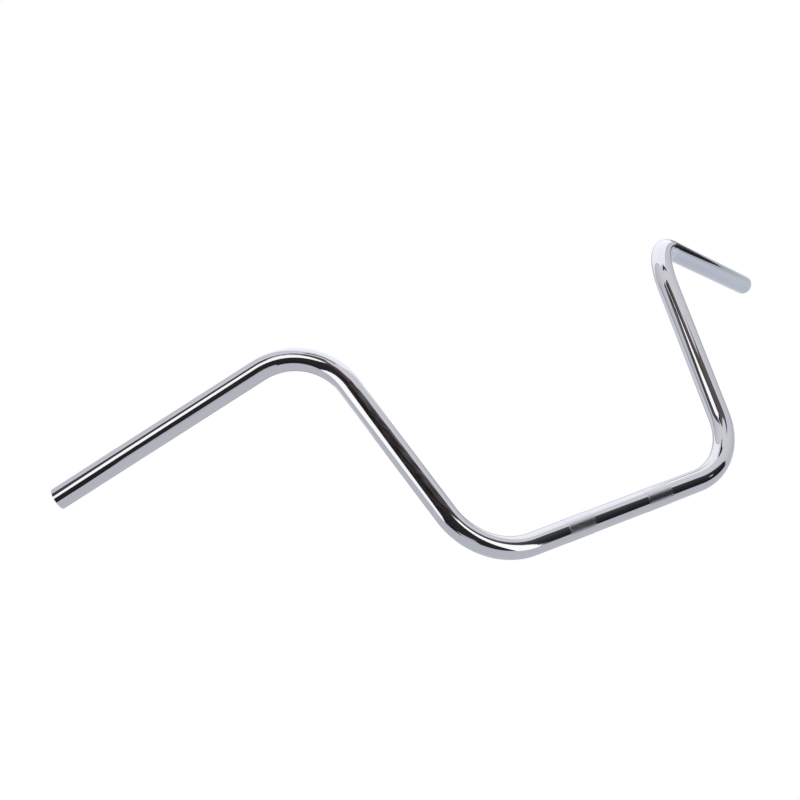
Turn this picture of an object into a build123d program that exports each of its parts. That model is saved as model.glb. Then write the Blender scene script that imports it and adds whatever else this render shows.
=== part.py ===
"""Ape hanger handlebar: one chromed steel tube, bent at four corners, with two knurled clamp seats.

Millimetres. The bar lies as it rests on a table, on its clamp section and the rims of its two ends.
X runs along the clamp section, Z is up and the risers lean away towards +Y.
The origin is the middle of the clamp section's axis.
"""

import math
import os

from build123d import *

# Tube
tube_diameter = 22.2
wall = 2.0
bend_radius = 68.0
end_chamfer = 0.2

# Bar as it stands in its clamps, between the corners of the tube's axis
base_width = 315.0
top_width = 419.5
rise = 266.0
grip_span = 896.5
pullback = 173.5
grip_drop = 15.0

# Knurled seats for the clamps
seat_spacing = 96.0
seat_length = 30.0
knurl_height = 0.2
knurl_depth = 0.16
knurl_count = 56
knurl_land = 0.4

tube_radius = tube_diameter / 2
bore_radius = tube_radius - wall
seat_radius = tube_radius + knurl_height
half_notch = (2 * math.pi * seat_radius / knurl_count - knurl_land) / 2

# Right half of the axis with the risers upright: Y points back to the rider, Z up
corner_low = Vector(base_width / 2, 0, 0)
corner_high = Vector(top_width / 2, 0, rise)
grip_end = Vector(grip_span / 2, pullback, rise - grip_drop)
grip_direction = (grip_end - corner_high).normalized()

# Lean that brings the rims of both ends down to the floor under the clamp section
reach = math.hypot(pullback, rise - grip_drop)
lean = 0.0
for _ in range(8):
    dip = abs(grip_direction.rotate(Axis.X, -lean).Z)
    rim_drop = tube_radius * math.sqrt(1 - dip**2) - end_chamfer * dip
    end_height = rim_drop - seat_radius
    lean = math.degrees(math.acos(end_height / reach) - math.atan2(pullback, rise - grip_drop))

right = [corner.rotate(Axis.X, -lean) for corner in (corner_low, corner_high, grip_end)]
left = [Vector(-corner.X, corner.Y, corner.Z) for corner in reversed(right)]

with BuildPart() as handlebar:
    # Tube swept along the bent axis, open at both ends
    with BuildLine() as bar_axis:
        FilletPolyline(*left, *right, radius=bend_radius)
    with BuildSketch(Plane(bar_axis.line @ 0, z_dir=bar_axis.line % 0)):
        Circle(tube_radius)
        Circle(bore_radius, mode=Mode.SUBTRACT)
    sweep()
    chamfer(faces().filter_by(GeomType.PLANE).edges(), length=end_chamfer)

    # Straight knurl on each clamp seat: lands standing proud of the tube, with notches between them
    with BuildSketch(Plane.YZ.offset((seat_spacing - seat_length) / 2)):
        Circle(seat_radius)
        with PolarLocations(seat_radius, knurl_count):
            Polygon(
                (knurl_depth, 2 * half_notch),
                (-knurl_depth, 0),
                (knurl_depth, -2 * half_notch),
                align=None,
                mode=Mode.SUBTRACT,
            )
        Circle(tube_radius - wall / 2, mode=Mode.SUBTRACT)
    seat = extrude(amount=seat_length)
    mirror(seat, about=Plane.YZ)

handlebar.part.label = "handlebar"
os.makedirs("parts", exist_ok=True)
export_step(handlebar.part, "parts/handlebar.step")
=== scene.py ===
"""Looks of the ape hanger handlebar: a chromed steel tube with knurled clamp seats, in a white studio.

Metres, in the CAD frame: X along the clamp section, Z up, the origin in the middle of the clamp section.
The bar's sizes, and the runs along its axis, are in millimetres until its points are made.
"""

import math

import bpy
import numpy as np
from mathutils import Matrix


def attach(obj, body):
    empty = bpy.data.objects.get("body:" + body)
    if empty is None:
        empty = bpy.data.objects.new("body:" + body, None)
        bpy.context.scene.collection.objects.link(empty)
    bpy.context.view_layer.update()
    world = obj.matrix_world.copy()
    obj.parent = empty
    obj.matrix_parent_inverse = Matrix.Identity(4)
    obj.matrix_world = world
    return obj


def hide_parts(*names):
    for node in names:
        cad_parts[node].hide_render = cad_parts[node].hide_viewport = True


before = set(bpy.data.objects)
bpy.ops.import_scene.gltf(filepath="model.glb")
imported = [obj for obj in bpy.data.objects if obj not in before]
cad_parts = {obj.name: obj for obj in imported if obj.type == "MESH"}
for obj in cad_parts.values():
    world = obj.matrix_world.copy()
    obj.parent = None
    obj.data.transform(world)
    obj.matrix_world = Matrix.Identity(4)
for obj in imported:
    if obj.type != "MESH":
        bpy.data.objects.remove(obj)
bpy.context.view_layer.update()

MM = 0.001

# Tube
tube_radius = 11.1
bore_radius = 9.1
bend_radius = 68.0
end_chamfer = 0.2

# Corners of the tube's axis with the risers upright
base_width = 315.0
top_width = 419.5
rise = 266.0
grip_span = 896.5
pullback = 173.5
grip_drop = 15.0
lean_passes = 8

# Knurled clamp seats
seat_spacing = 96.0
seat_length = 30.0
knurl_height = 0.2
knurl_relief = 0.1
knurl_count = 56
knurl_run_out = 0.1

# Mesh of the tube: four facets to each tooth of the knurl, and rings that stand closer together outside,
# where the mirror shows every step, than in the bore. Guard rings stand this far in from a rim, and the slack
# is the rounding that a run may have.
facets_round = 4 * knurl_count
outside_bend_steps = 44
outside_straight_step = 14.0
bore_bend_steps = 14
bore_straight_step = 30.0
rim_guards = [2.0, 0.4]
least_ring_gap = 0.05
run_slack = 0.001
sharp_angle = math.radians(30)


def unit(v):
    """The vector divided by its length."""
    return v / np.linalg.norm(v)


def leaned(corner, lean):
    """A corner turned about X by the lean, so that an upright riser falls back towards +Y."""
    x, y, z = corner
    c, s = math.cos(lean), math.sin(lean)
    return np.array([x, y * c + z * s, z * c - y * s])


def resting_corners():
    """The right half's three corners with the bar at rest on its clamp section and the rims of its ends.

    The end's centre stands above the floor by the tube's radius times the cosine of the grip's dip, less the
    chamfer times its sine, and the clamp axis by the tube's radius and the knurl's height. The lean is the
    arc cosine of the first height less the second, over the reach, less the angle of the upright end seen
    from the clamp axis. Each pass takes the dip from the last lean.
    """
    low = np.array([base_width / 2, 0.0, 0.0])
    high = np.array([top_width / 2, 0.0, rise])
    end = np.array([grip_span / 2, pullback, rise - grip_drop])
    grip = unit(end - high)
    reach = math.hypot(end[1], end[2])
    lean = 0.0
    for _ in range(lean_passes):
        dip = abs(leaned(grip, lean)[2])
        height = tube_radius * math.sqrt(1 - dip**2) - end_chamfer * dip - tube_radius - knurl_height
        lean = math.acos(height / reach) - math.atan2(end[1], end[2])
    return [leaned(corner, lean) for corner in (low, high, end)]


def half_stretches():
    """The right half of the axis as straights and bends, from the middle outwards.

    A bend takes radius times the tangent of half its turn off the straights on both sides of a corner.
    Each stretch is its length, its first direction, its next direction, and whether it bends.
    """
    points = [np.zeros(3)] + resting_corners()
    ways = [unit(b - a) for a, b in zip(points, points[1:])]
    sides = [np.linalg.norm(b - a) for a, b in zip(points, points[1:])]
    turns = [math.acos(a @ b) for a, b in zip(ways, ways[1:])]
    cuts = [0.0] + [bend_radius * math.tan(turn / 2) for turn in turns] + [0.0]
    out = []
    for i, way in enumerate(ways):
        out.append((sides[i] - cuts[i] - cuts[i + 1], way, way, False))
        if i < len(turns):
            out.append((bend_radius * turns[i], way, ways[i + 1], True))
    return out


stretches = half_stretches()
half_length = sum(stretch[0] for stretch in stretches)

# Direction of the right riser, which follows the clamp section and the lower bend
riser_way = stretches[2][1]


def turned(v, about, angle):
    """A vector turned about a unit axis by each of an array of angles.

    It is the vector times the cosine, plus the axis crossed with the vector times the sine, plus the
    vector's share along the axis times one minus the cosine.
    """
    c, s = np.cos(angle)[:, None], np.sin(angle)[:, None]
    return v * c + np.cross(about, v) * s + about * (about @ v) * (1 - c)


def axis_at(run):
    """Places on the tube's axis and two cross directions there, for an array of signed runs from the middle.

    A straight moves along its direction. A bend moves by radius times sine along its first direction and by
    radius times one minus cosine towards its centre, and turns the cross directions with it, so they never
    twist. The left half is the right half with X reversed.
    """
    dist = np.abs(run)
    place = np.zeros((len(run), 3))
    back = np.zeros((len(run), 3))
    lift = np.zeros((len(run), 3))
    at = np.zeros(3)
    e1 = np.array([0.0, 1.0, 0.0])
    e2 = np.array([0.0, 0.0, 1.0])
    start = 0.0
    for length, way, next_way, bends in stretches:
        here = (dist >= start - run_slack) & (dist <= start + length + run_slack)
        along = np.append(dist[here] - start, length)
        if bends:
            hinge = unit(np.cross(way, next_way))
            inward = np.cross(hinge, way)
            angle = along / bend_radius
            p = at + bend_radius * (np.sin(angle)[:, None] * way + (1 - np.cos(angle))[:, None] * inward)
            f1, f2 = turned(e1, hinge, angle), turned(e2, hinge, angle)
        else:
            p = at + along[:, None] * way
            f1, f2 = np.tile(e1, (len(along), 1)), np.tile(e2, (len(along), 1))
        place[here], back[here], lift[here] = p[:-1], f1[:-1], f2[:-1]
        at, e1, e2, start = p[-1], f1[-1], f2[-1], start + length
    mirror = np.where(run[:, None] < 0, [-1.0, 1.0, 1.0], [1.0, 1.0, 1.0])
    return place * mirror, back * mirror, lift * mirror


def seat_share(run):
    """The share of a knurled seat at each run: one on it and none off it.

    Over the run-out at each end it is three times the square of the way in, less twice its cube.
    """
    inside = seat_length / 2 - np.abs(np.abs(run) - seat_spacing / 2)
    step = np.clip(inside / knurl_run_out, 0, 1)
    return step**2 * (3 - 2 * step)


def runs_along(bend_steps, straight_step, edges):
    """Signed runs of the tube's rings: even steps on each stretch, and a ring at each of the given edges.

    Rings past the rims are dropped, and so is a ring that stands too close to the one before it.
    """
    marks, start = [], 0.0
    for length, _, _, bends in stretches:
        steps = bend_steps if bends else max(2, round(length / straight_step))
        marks.append(start + np.linspace(0, length, steps + 1))
        start += length
    half = np.unique(np.concatenate(marks + [np.asarray(edges, float)]).round(4))
    half = half[(half >= 0) & (half <= half_length - end_chamfer + run_slack)]
    keep = np.append(True, np.diff(half) > least_ring_gap)
    half = half[keep]
    return np.concatenate([-half[:0:-1], half])


def tube_rings():
    """Runs and radii of every ring of the closed tube wall, and which of them are outside.

    The outside runs from the left end to the right, a chamfered rim turns in, the bore runs back and the
    other rim closes the wall. Five rings stand at each end of a seat, a run-out apart, and guard rings stand
    close to each rim to keep its edge crisp.
    """
    seat_edges = [seat_spacing / 2 + side * seat_length / 2 + step
                  for side in (-1, 1) for step in np.linspace(-2, 2, 5) * knurl_run_out]
    rim = half_length - end_chamfer
    guards = [rim - guard for guard in rim_guards]
    outside = runs_along(outside_bend_steps, outside_straight_step, seat_edges + guards + [rim])
    bore = runs_along(bore_bend_steps, bore_straight_step, guards[1:] + [rim])[::-1]
    end = np.full(2, half_length)
    runs = np.concatenate([outside, end, bore, -end])
    rim_radii = np.array([tube_radius - end_chamfer, bore_radius + end_chamfer])
    radii = np.concatenate([np.full(len(outside), tube_radius), rim_radii,
                            np.full(len(bore), bore_radius), rim_radii[::-1]])
    return runs, radii, np.arange(len(runs)) < len(outside)


def bar_surface(runs, radii, seat):
    """Points of the tube wall on a grid of rings by facets, both ways closed.

    Each point is the axis place plus the ring's radius along the turn between the two cross directions. On a
    seat the radius gains the knurl's height, less half its relief times one plus the cosine of tooth count
    times angle. The notches are rounder and shallower than cut ones, for the soft blur that they give.
    """
    place, back, lift = axis_at(runs)
    turn = 2 * np.pi * np.arange(facets_round) / facets_round
    teeth = knurl_height - knurl_relief * (1 + np.cos(knurl_count * turn)) / 2
    radius = radii[:, None] + seat[:, None] * teeth[None]
    spoke = np.cos(turn)[None, :, None] * back[:, None] + np.sin(turn)[None, :, None] * lift[:, None]
    return (place[:, None] + radius[..., None] * spoke) * MM


def grid_faces(rows, columns, closed):
    """Faces of a grid, each a point, the next in its row, and the two beside them in the next row."""
    i = np.arange(rows if closed else rows - 1)[:, None]
    j = np.arange(columns if closed else columns - 1)[None]
    i2, j2 = (i + 1) % rows, (j + 1) % columns
    corners = [i * columns + j, i * columns + j2, i2 * columns + j2, i2 * columns + j]
    return np.stack(corners, -1).reshape(-1, 4)


def mesh_object(name, points, faces, material):
    """A smooth mesh object at the origin from arrays of points and four-cornered faces."""
    mesh = bpy.data.meshes.new(name)
    mesh.from_pydata(points.reshape(-1, 3).tolist(), [], faces.tolist())
    mesh.polygons.foreach_set("use_smooth", np.full(len(faces), True))
    mesh.materials.append(material)
    mesh.update()
    made = bpy.data.objects.new(name, mesh)
    bpy.context.scene.collection.objects.link(made)
    return made


def linear(hex_colour):
    """A six-figure sRGB hex colour as linear red, green, blue and full alpha."""
    srgb = np.array([int(hex_colour[k:k + 2], 16) for k in (1, 3, 5)]) / 255
    low = srgb / 12.92
    high = ((srgb + 0.055) / 1.055) ** 2.4
    return (*np.where(srgb <= 0.04045, low, high), 1.0)


def add_node(tree, kind, links=(), **settings):
    """Adds a node, sets its properties or input values, and links (socket, node, output) into it."""
    node = tree.nodes.new(kind)
    for key, value in settings.items():
        if hasattr(node, key):
            setattr(node, key, value)
        else:
            node.inputs[key.replace("_", " ")].default_value = value
    for socket, source, output in links:
        tree.links.new(source.outputs[output], node.inputs[socket])
    return node


def empty_material(name):
    """A material with nothing in its node tree, and that tree."""
    material = bpy.data.materials.new(name)
    material.use_nodes = True
    material.node_tree.nodes.clear()
    return material, material.node_tree


# Colours of the plate and the bare steel
chrome_hex = "#C2C4C8"
steel_dark_hex = "#5C554E"
steel_pale_hex = "#8A8580"

# Sizes of the plate's patterns, in millimetres
haze_size = 40.0
buffing_ring_size = 2.5
wave_size = 30.0
wave_depth = 0.03
stain_size = 9.0

# Roughness of the mirror where it is clear and hazy, of the rings on it, and of the seats and the bore
clear_roughness = 0.02
hazy_roughness = 0.045
ring_roughness = 0.02
seat_roughness = 0.14
bore_roughness = 0.42


def polished_chrome_plate():
    """Bright chrome over nickel on buffed steel tube: a cold, sharp mirror, slightly wavy from the buffing.

    The eye gets hard-edged reflections with faint haze and faint rings from the buffing wheel, a soft blur
    on the knurled seats, and dull brown-grey steel in the bore, where the plating bath hardly reaches.
    """
    material, tree = empty_material("polished_chrome_plate")
    place = add_node(tree, "ShaderNodeTexCoord")
    seat = add_node(tree, "ShaderNodeAttribute", attribute_name="seat")
    bore = add_node(tree, "ShaderNodeAttribute", attribute_name="bore")
    along = add_node(tree, "ShaderNodeAttribute", attribute_name="along")
    haze = add_node(tree, "ShaderNodeTexNoise", [("Vector", place, "Object")],
                    Scale=1 / (haze_size * MM), Detail=4.0)
    plain = add_node(tree, "ShaderNodeMapRange", [("Value", haze, "Fac")], From_Min=0.3, From_Max=0.7,
                     To_Min=clear_roughness, To_Max=hazy_roughness)
    rings = add_node(tree, "ShaderNodeTexNoise", [("W", along, "Fac")], noise_dimensions="1D",
                     Scale=1 / (buffing_ring_size * MM), Detail=3.0)
    buffed = add_node(tree, "ShaderNodeMath", [(0, rings, "Fac"), (2, plain, "Result")],
                      operation="MULTIPLY_ADD")
    buffed.inputs[1].default_value = ring_roughness
    seated = add_node(tree, "ShaderNodeMapRange", [("Value", seat, "Fac"), ("To Min", buffed, "Value")],
                      To_Max=seat_roughness)
    rough = add_node(tree, "ShaderNodeMapRange", [("Value", bore, "Fac"), ("To Min", seated, "Result")],
                     To_Max=bore_roughness)
    stain = add_node(tree, "ShaderNodeTexNoise", [("Vector", place, "Object")],
                     Scale=1 / (stain_size * MM), Detail=5.0)
    steel = add_node(tree, "ShaderNodeMixRGB", [("Fac", stain, "Fac")],
                     Color1=linear(steel_dark_hex), Color2=linear(steel_pale_hex))
    colour = add_node(tree, "ShaderNodeMixRGB", [("Fac", bore, "Fac"), ("Color2", steel, "Color")],
                      Color1=linear(chrome_hex))
    wave = add_node(tree, "ShaderNodeTexNoise", [("Vector", place, "Object")],
                    Scale=1 / (wave_size * MM), Detail=1.0)
    bump = add_node(tree, "ShaderNodeBump", [("Height", wave, "Fac")], Strength=1.0, Distance=wave_depth * MM)
    shader = add_node(tree, "ShaderNodeBsdfPrincipled", [("Base Color", colour, "Color"),
                      ("Roughness", rough, "Result"), ("Normal", bump, "Normal")], Metallic=1.0)
    add_node(tree, "ShaderNodeOutputMaterial", [("Surface", shader, "BSDF")])
    return material


# Clutter in the studio: the share that it takes of an unlit room and of cloth, its patches to the metre, how
# far they are drawn out across, along and across the left riser, and their colours. They are short along the
# riser and long across it, because the round tube squeezes what it shows across itself.
room_clutter = 0.9
cloth_clutter = 0.05
patches_per_metre = 24.0
patch_stretch = (25.0, 0.5, 25.0)
patch_dark_hex = "#7C6150"
patch_pale_hex = "#E7EFFF"


def glowing_cloth(name, stops, radius, clutter):
    """Lit studio cloth or an unlit room: a glow that the chrome shows as the given colours, by height angle.

    Each glow is the colour to be seen over the chrome's own. The clutter is the share of it that patches of
    brown and blue take away, as things in a room do, and the strength gives about half of that back.
    """
    material, tree = empty_material(name)
    place = add_node(tree, "ShaderNodeTexCoord")
    apart = add_node(tree, "ShaderNodeSeparateXYZ", [("Vector", place, "Object")])
    share = add_node(tree, "ShaderNodeMapRange", [("Value", apart, "Z")], From_Min=-radius, From_Max=radius)
    ramp = add_node(tree, "ShaderNodeValToRGB", [("Fac", share, "Result")])
    bands = ramp.color_ramp.elements
    while len(bands) < len(stops):
        bands.new(1.0)
    while len(bands) > len(stops):
        bands.remove(bands[-1])
    chrome = linear(chrome_hex)[:3]
    glows = [[s / c for s, c in zip(linear(seen)[:3], chrome)] for _, seen in stops]
    peak = max(max(glow) for glow in glows)
    for band, (height, _), glow in zip(bands, stops, glows):
        band.position = (math.sin(math.radians(height)) + 1) / 2
        band.color = (*[g / peak for g in glow], 1.0)
    # Turns the pattern's Y to the left riser, which is the right one with X reversed
    x, y, z = riser_way
    longer = add_node(tree, "ShaderNodeMapping", [("Vector", place, "Object")], vector_type="TEXTURE",
                      Rotation=(math.asin(z), 0.0, math.atan2(x, y)), Scale=patch_stretch)
    patches = add_node(tree, "ShaderNodeTexNoise", [("Vector", longer, "Vector")],
                       Scale=patches_per_metre, Detail=3.0)
    shade = add_node(tree, "ShaderNodeMapRange", [("Value", patches, "Fac")], From_Min=0.42, From_Max=0.58)
    tint = add_node(tree, "ShaderNodeMixRGB", [("Fac", shade, "Result")],
                    Color1=linear(patch_dark_hex), Color2=linear(patch_pale_hex))
    uneven = add_node(tree, "ShaderNodeMixRGB", [("Color1", ramp, "Color"), ("Color2", tint, "Color")],
                      blend_type="MULTIPLY", Fac=clutter)
    shader = add_node(tree, "ShaderNodeEmission", [("Color", uneven, "Color")],
                      Strength=peak / (1 - clutter / 2))
    add_node(tree, "ShaderNodeOutputMaterial", [("Surface", shader, "Emission")])
    return material


# Domes that carry the sails
dome_centre = np.array([0.0, 0.12, 0.0])
sail_rows = 31
sail_columns = 41


def dome_sail(name, radius, corners, stops, clutter):
    """A sail of cloth on a dome: a grid drawn evenly between four corners, each a bearing and a height angle.

    The corners run low left, top left, top right, low right as seen from the bar. Bearing is from +Y towards
    +X. Each point stands at the radius from the centre, by the sine and cosine of its bearing, each times the
    cosine of its height, and by the sine of its height. Only the chrome sees the sail, as a mirror does.
    """
    low_left, top_left, top_right, low_right = [np.radians(np.array(c, float)) for c in corners]
    across = np.linspace(0, 1, sail_columns)[None, :, None]
    upward = np.linspace(0, 1, sail_rows)[:, None, None]
    grid = (1 - upward) * ((1 - across) * low_left + across * low_right)
    grid = grid + upward * ((1 - across) * top_left + across * top_right)
    bearing, height = grid[..., 0], grid[..., 1]
    level = np.cos(height)
    outward = np.stack([np.sin(bearing) * level, np.cos(bearing) * level, np.sin(height)], -1)
    made = mesh_object(name, outward * radius + dome_centre, grid_faces(sail_rows, sail_columns, False),
                       glowing_cloth(name, stops, radius, clutter))
    made.visible_camera = made.visible_diffuse = made.visible_shadow = False


# The bar
ring_runs, ring_radii, ring_outside = tube_rings()
ring_seat = seat_share(ring_runs) * ring_outside
ring_bore = ring_radii < bore_radius + end_chamfer / 2
bar_points = bar_surface(ring_runs, ring_radii, ring_seat)
bar_faces = grid_faces(len(ring_runs), facets_round, True)
handlebar = mesh_object("chromed_handlebar", bar_points, bar_faces, polished_chrome_plate())
handlebar.data.set_sharp_from_angle(angle=sharp_angle)
for name, values in (("seat", ring_seat), ("bore", ring_bore), ("along", ring_runs * MM)):
    spread = np.repeat(values.astype(np.float32), facets_round)
    handlebar.data.attributes.new(name, "FLOAT", "POINT").data.foreach_set("value", spread)
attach(handlebar, "root")
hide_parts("handlebar")

# Colours of the studio by height in degrees, as the chrome shows them
cloth = [(0, "#B3B4BA"), (25, "#BDBEC5"), (50, "#C5C6CD"), (90, "#C8C8CE")]
dark = [(4, "#1E1F22"), (35, "#262425"), (55, "#2C2727"), (70, "#443D3C"), (80, "#584F4E")]
dark_right = [(4, "#181A1E"), (25, "#222427"), (40, "#313336"), (55, "#424446"), (65, "#4E5052")]
table = [(0, "#B0B2BC")]
far_table = [(-75, "#B0B2B9"), (-60, "#96989F"), (-48, "#787A82"), (-38, "#787A82"), (-31, "#A8AAB2")]
# The right table's glow darkens at its top edge near the horizon: painted shade on the table beside the right
# gap
right_table = [(-46, "#A6AAB6"), (-26, "#A9AEBB"), (-14, "#AEB4C1"), (-6, "#B1B6C2"), (-1, "#989CA5")]
back_light = [(0, "#E2E3EC"), (30, "#E9EAF4"), (60, "#E4E5EE")]

# Sails round the bar, the nearer ones in front: the dome's radius in metres, the corners as bearing and
# height in degrees, and the colours
sails = [
    ("ceiling", 8.0, [(-180, -8), (-180, 90), (180, 90), (180, -8)], cloth),
    ("back_light_rail", 5.0, [(-15, 68.5), (-15, 74), (68, 75), (68, 66)], [(0, "#26282E")]),
    ("dark_room_right", 2.5, [(100, -12), (100, 62), (151, 75.2), (151, -12)], dark_right),
    ("dark_room_front", 2.5, [(150, -12), (150, 75.1), (208, 82.5), (208, -12)], dark),
    ("dark_room_left", 2.5, [(208, -12), (208, 82.5), (264, 82), (264, -12)], dark),
    ("dark_room_far_left", 2.5, [(264, 57), (264, 82), (293, 81), (285, 57)], dark),
    ("left_light", 2.45, [(260, -7), (252, 68), (282, 59), (282, -7)], [(0, "#FAFAFC")]),
    ("left_wall", 2.5, [(282, 5), (282, 52), (297, 52), (295, 5)], [(8, "#5A5A5E"), (45, "#3C3C40")]),
    ("white_table", 1.44, [(-180, -90), (-180, -4), (180, -4), (180, -90)], table),
    ("table_right_rim", 1.43, [(95, -5), (95, -1.5), (150, -3.5), (150, -5)], table),
    ("table_front_rim", 1.43, [(150, -5), (150, -3.5), (184, 1.5), (184, -5)], table),
    ("table_left_rim", 1.43, [(-180, -5), (-180, 1), (-126, 4), (-126, -5)], table),
    ("tent_side_low", 1.43, [(92, -5), (92, 35), (122.5, 35), (117.5, -5)], cloth),
    ("tent_side_high", 1.43, [(92, 35), (92, 75), (116, 71), (122.5, 35)], cloth),
    ("far_table", 1.425, [(-20, -72), (-12, -14), (66, -14), (80, -72)], far_table),
    ("pale_table", 1.422, [(-38, -40), (-38, -7), (6, -12), (8, -40)], [(-30, "#C3C6D0")]),
    ("table_edge", 1.42, [(-55, -4), (-55, 4), (-24, 0), (-24, -8)], [(0, "#8C8F98")]),
    ("right_gap", 1.42, [(70, -13), (70, 0.5), (90, 1), (90, -13)], [(0, "#1C1D21")]),
    ("right_gap_far", 1.42, [(50, -3.4), (51, -1), (70, 0.5), (70, -3.4)], [(0, "#404246")]),
    ("back_light_frame", 1.41, [(-8, -14), (-7, 62.5), (67, 66), (63, 1)], [(0, "#A8A9B0")]),
    ("back_light", 1.40, [(-6, -14), (-5, 61), (65, 64), (61, 4)], back_light),
    ("right_light", 1.40, [(155.8, -5), (154, 61), (185.5, 61), (176, 0)], [(0, "#FCFCFC")]),
    ("front_cloth", 1.39, [(-149, 1), (-148, 15), (-123, 6), (-128, -3)], [(0, "#A8A9B0")]),
    ("room_lamp", 1.39, [(132, 16), (132, 21.5), (134.5, 21.5), (134.5, 16)], [(0, "#C0C0C4")]),
    ("right_table", 0.8, [(50, -46), (50, -0.2), (110, -0.2), (110, -46)], right_table),
    ("left_drape", 0.65, [(286, 8), (293, 44), (302, 44), (297.5, 8)], [(8, "#3E3E42"), (40, "#34343A")]),
    ("left_drape_neck", 0.65, [(294, 44), (293, 56), (301, 56), (302, 44)], [(0, "#5A5A60")]),
    ("left_drape_top", 0.65, [(280, 58), (289, 71), (300, 71), (296, 54)], [(0, "#46464A")]),
]
for name, radius, corners, stops in sails:
    dome_sail(name, radius, corners, stops, room_clutter if stops in (dark, dark_right) else cloth_clutter)

# White paper floor, lit until it shows no shade, which the camera alone sees
white_hex = "#FFFFFF"
floor_sides = (-6.0, 6.0)
floor_height = -(tube_radius + knurl_height) * MM
floor_material, floor_tree = empty_material("white_floor")
floor_glow = add_node(floor_tree, "ShaderNodeEmission", Color=linear(white_hex), Strength=1.0)
add_node(floor_tree, "ShaderNodeOutputMaterial", [("Surface", floor_glow, "Emission")])
floor_points = np.array([(x, y, floor_height) for y in floor_sides for x in floor_sides])
floor = mesh_object("floor", floor_points, grid_faces(2, 2, False), floor_material)
floor.visible_glossy = floor.visible_diffuse = floor.visible_shadow = False

world = bpy.data.worlds.new("white_room")
bpy.context.scene.world = world
world.use_nodes = True
world.node_tree.nodes["Background"].inputs["Color"].default_value = linear(white_hex)

# Camera, at the photograph's place
camera_data = bpy.data.cameras.new("camera")
camera_data.sensor_width = 36.0
camera_data.lens = 71.493
camera_data.clip_end = 50.0
camera = bpy.data.objects.new("camera", camera_data)
bpy.context.scene.collection.objects.link(camera)
camera_place = [-0.86234, -0.95007, 0.87078]
right = unit(np.array([0.84359, -0.5369, 0.00954]))
forward = unit(np.array([0.46628, 0.72359, -0.50893]))
up = np.cross(right, forward)
right = np.cross(forward, up)
stand = np.eye(4)
stand[:3] = np.stack([right, up, -forward, camera_place], 1)
camera.matrix_world = Matrix(stand.tolist())
bpy.context.scene.camera = camera

bpy.context.scene.view_settings.view_transform = "Standard"
